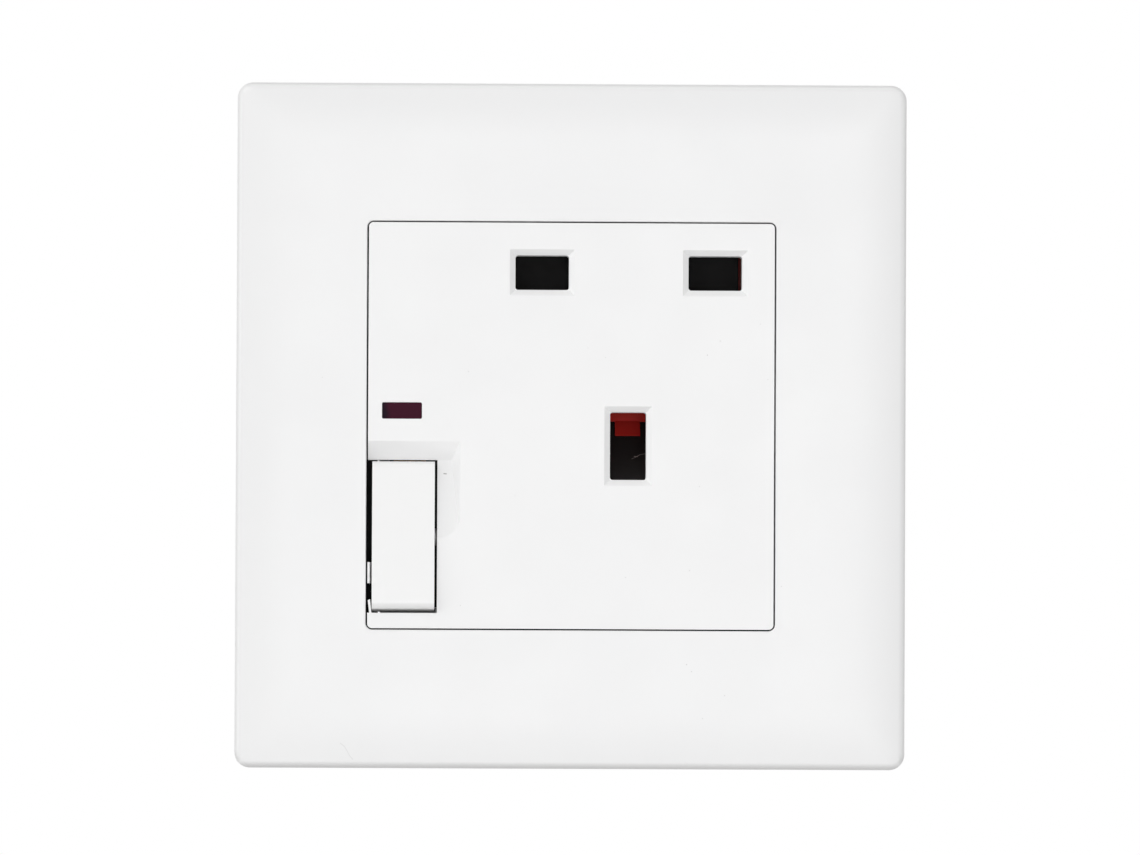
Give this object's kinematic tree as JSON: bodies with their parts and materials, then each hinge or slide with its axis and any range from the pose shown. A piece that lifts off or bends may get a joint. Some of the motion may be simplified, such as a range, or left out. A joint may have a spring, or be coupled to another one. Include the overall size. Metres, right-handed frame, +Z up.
{
  "type": "switched wall socket",
  "caption": "Square switched wall socket for a three-pin plug: clip-on surround, shuttered rectangular slots, rocker switch and neon lens.",
  "frame": {"origin": "midway between the two fixing holes, on the wall's surface", "axes": "+X to the right, +Y into the wall, +Z up; the face looks along -Y"},
  "size_m": [0.086, 0.0342, 0.088],
  "materials": {
    "white_polycarbonate": "satin",
    "black_nylon": "matt",
    "black_shutter": "matt",
    "red_shutter": "satin",
    "spring_steel": "bright",
    "plunger_acetal": "smooth",
    "phosphor_bronze": "bright",
    "silver_tip": "bright",
    "terminal_brass": "bright",
    "plated_screw": "plated",
    "dark_red_lens": "polished",
    "lamp_glass": "clear",
    "resistor_body": "lacquered",
    "lead_sleeve": "smooth"
  },
  "bodies": {
    "housing": {"surround_plate": "white_polycarbonate", "mounting_frame": "black_nylon", "socket_cover": "white_polycarbonate", "rear_base": "black_nylon", "shutter_retainer": "black_nylon", "shutter_spring": "spring_steel", "fixed_contact": "phosphor_bronze", "fixed_contact_tip": "silver_tip", "common_strip": "phosphor_bronze", "live_contact": "phosphor_bronze", "neutral_contact": "phosphor_bronze", "earth_contact": "phosphor_bronze", "live_terminal_block": "terminal_brass", "neutral_terminal_block": "terminal_brass", "earth_terminal_block": "terminal_brass", "live_terminal_screw": "plated_screw", "neutral_terminal_screw": "plated_screw", "earth_terminal_screw": "plated_screw", "neon_lens": "dark_red_lens", "neon_lamp": "lamp_glass", "neon_resistor": "resistor_body", "neon_leads": "lead_sleeve", "assembly_screws": "plated_screw", "retainer_screws": "plated_screw"},
    "rocker_unit": {"rocker": "white_polycarbonate", "rocker_spring": "spring_steel", "rocker_plunger": "plunger_acetal"},
    "see_saw": {"moving_contact": "phosphor_bronze", "moving_contact_tip": "silver_tip"},
    "shutter": {"shutter_blade": "black_shutter", "shutter_slide": "red_shutter"}
  },
  "joints": [
    {"name": "rocker_tilt", "type": "hinge", "parent": "housing", "child": "rocker_unit", "pos_m": [-0.0215, -0.0059, -0.01426], "axis": [1, 0, 0], "range_deg": [0, 10]},
    {"name": "see_saw_tilt", "type": "hinge", "parent": "housing", "child": "see_saw", "pos_m": [-0.0209, 0.00915, -0.01426], "axis": [1, 0, 0], "range_deg": [-20, 0]},
    {"name": "shutter_slide_down", "type": "slide", "parent": "housing", "child": "shutter", "axis": [0, 0, -1], "range_m": [0, 0.0086], "stiffness_N_per_m": 150, "springref_m": -0.01, "deforming": ["shutter_spring"]}
  ],
  "couplings": [
    {"joint": "see_saw_tilt", "follows": "rocker_tilt", "ratio": -2}
  ]
}
